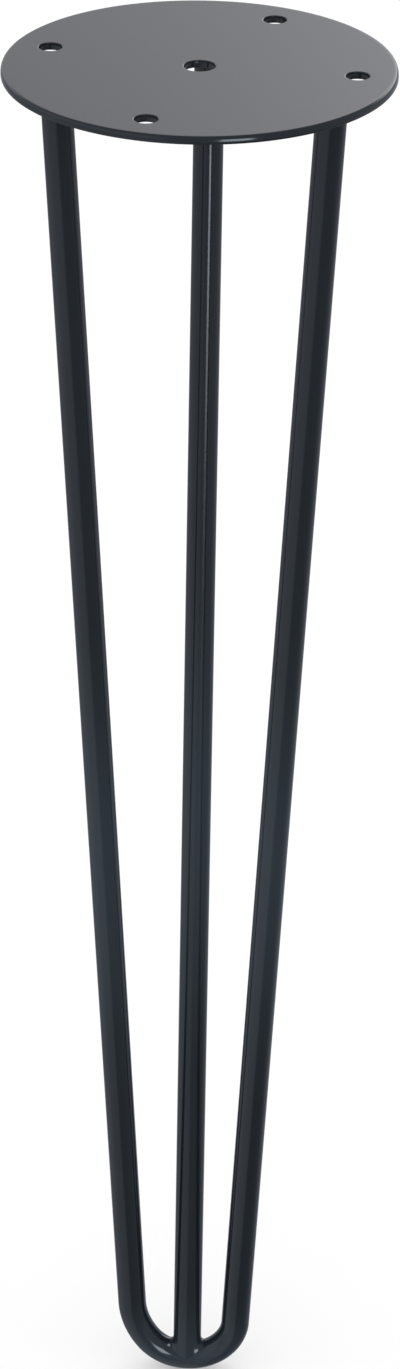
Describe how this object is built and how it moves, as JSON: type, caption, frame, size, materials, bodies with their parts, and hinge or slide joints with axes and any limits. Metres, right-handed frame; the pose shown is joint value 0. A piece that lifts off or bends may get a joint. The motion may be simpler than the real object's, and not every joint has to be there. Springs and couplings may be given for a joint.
{
  "type": "hairpin table leg",
  "caption": "Black steel hairpin table leg: a bent round rod and a straight round rod lean from a drilled round mounting plate down to a narrow U-shaped foot.",
  "frame": {"origin": "centre of the mounting plate's top face, on the axis of its middle hole", "axes": "+Z out of the plate's top face, towards the table top; the leg hangs down along -Z; the bent rod's first leg stands on -X, which is the axis of the screw pattern"},
  "size_m": [0.1, 0.1, 0.4],
  "materials": {
    "black_powder_coat": "semi-gloss black powder coat over welded steel"
  },
  "bodies": {
    "root": {"mounting_plate": "black_powder_coat", "hairpin_rod": "black_powder_coat", "third_rod": "black_powder_coat", "left_rod_weld": "black_powder_coat", "right_rod_weld": "black_powder_coat", "third_rod_weld": "black_powder_coat", "foot_weld": "black_powder_coat"}
  },
  "joints": []
}
